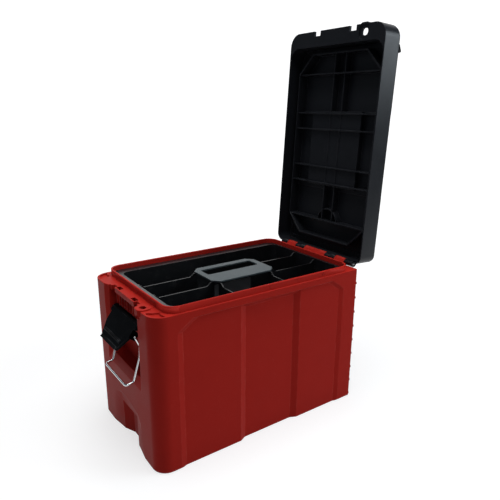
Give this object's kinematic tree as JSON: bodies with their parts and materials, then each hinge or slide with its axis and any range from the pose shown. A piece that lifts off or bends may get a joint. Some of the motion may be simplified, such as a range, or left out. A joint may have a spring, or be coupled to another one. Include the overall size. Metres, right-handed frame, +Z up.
{
  "type": "tool box",
  "caption": "Tall moulded plastic tool box with a hinged ribbed lid, a lift-out divided tray, a wire draw latch on one end, a padlock eye and a folding carry handle.",
  "frame": {"origin": "centre of the base underside", "axes": "+Z up, -Y out of the latch end, +Y out of the hinge end, +X out of the long side with the padlock eye"},
  "size_m": [0.2446, 0.5089, 0.6886],
  "materials": {
    "body_shell": "satin moulded",
    "lid_shell": "satin moulded",
    "tray": "satin moulded",
    "tray_handle": "satin moulded",
    "carry_handle": "satin moulded",
    "latch_lever": "satin moulded",
    "latch_bail": "bright plated wire",
    "hinge_pin": "drawn",
    "latch_pin": "drawn",
    "handle_pin_front": "drawn",
    "handle_pin_back": "drawn"
  },
  "bodies": {
    "base": {"body_shell": "body_shell", "hinge_pin": "hinge_pin", "latch_pin": "latch_pin"},
    "lid": {"lid_shell": "lid_shell", "handle_pin_front": "handle_pin_front", "handle_pin_back": "handle_pin_back"},
    "tray": {"tray": "tray", "tray_handle": "tray_handle"},
    "lever": {"latch_lever": "latch_lever"},
    "bail": {"latch_bail": "latch_bail"},
    "handle": {"carry_handle": "carry_handle"}
  },
  "joints": [
    {"name": "lid_hinge", "type": "hinge", "parent": "base", "child": "lid", "pos_m": [0, 0.2117, 0.2651], "axis": [-1, 0, 0], "range_deg": [-93.7, 0]},
    {"name": "tray_lift", "type": "slide", "parent": "base", "child": "tray", "axis": [0, 0, 1], "range_m": [0, 0.15]},
    {"name": "lever_swing", "type": "hinge", "parent": "base", "child": "lever", "pos_m": [0, -0.193, 0.222], "axis": [-1, 0, 0], "range_deg": [0, 62]},
    {"name": "bail_flip", "type": "hinge", "parent": "lever", "child": "bail", "pos_m": [0, -0.20177, 0.206], "axis": [1, 0, 0], "range_deg": [-170, 0]},
    {"name": "handle_fold", "type": "hinge", "parent": "lid", "child": "handle", "pos_m": [0, 0.25553, 0.46639], "axis": [0, 0.0645, 0.9979], "range_deg": [0, 90]}
  ]
}
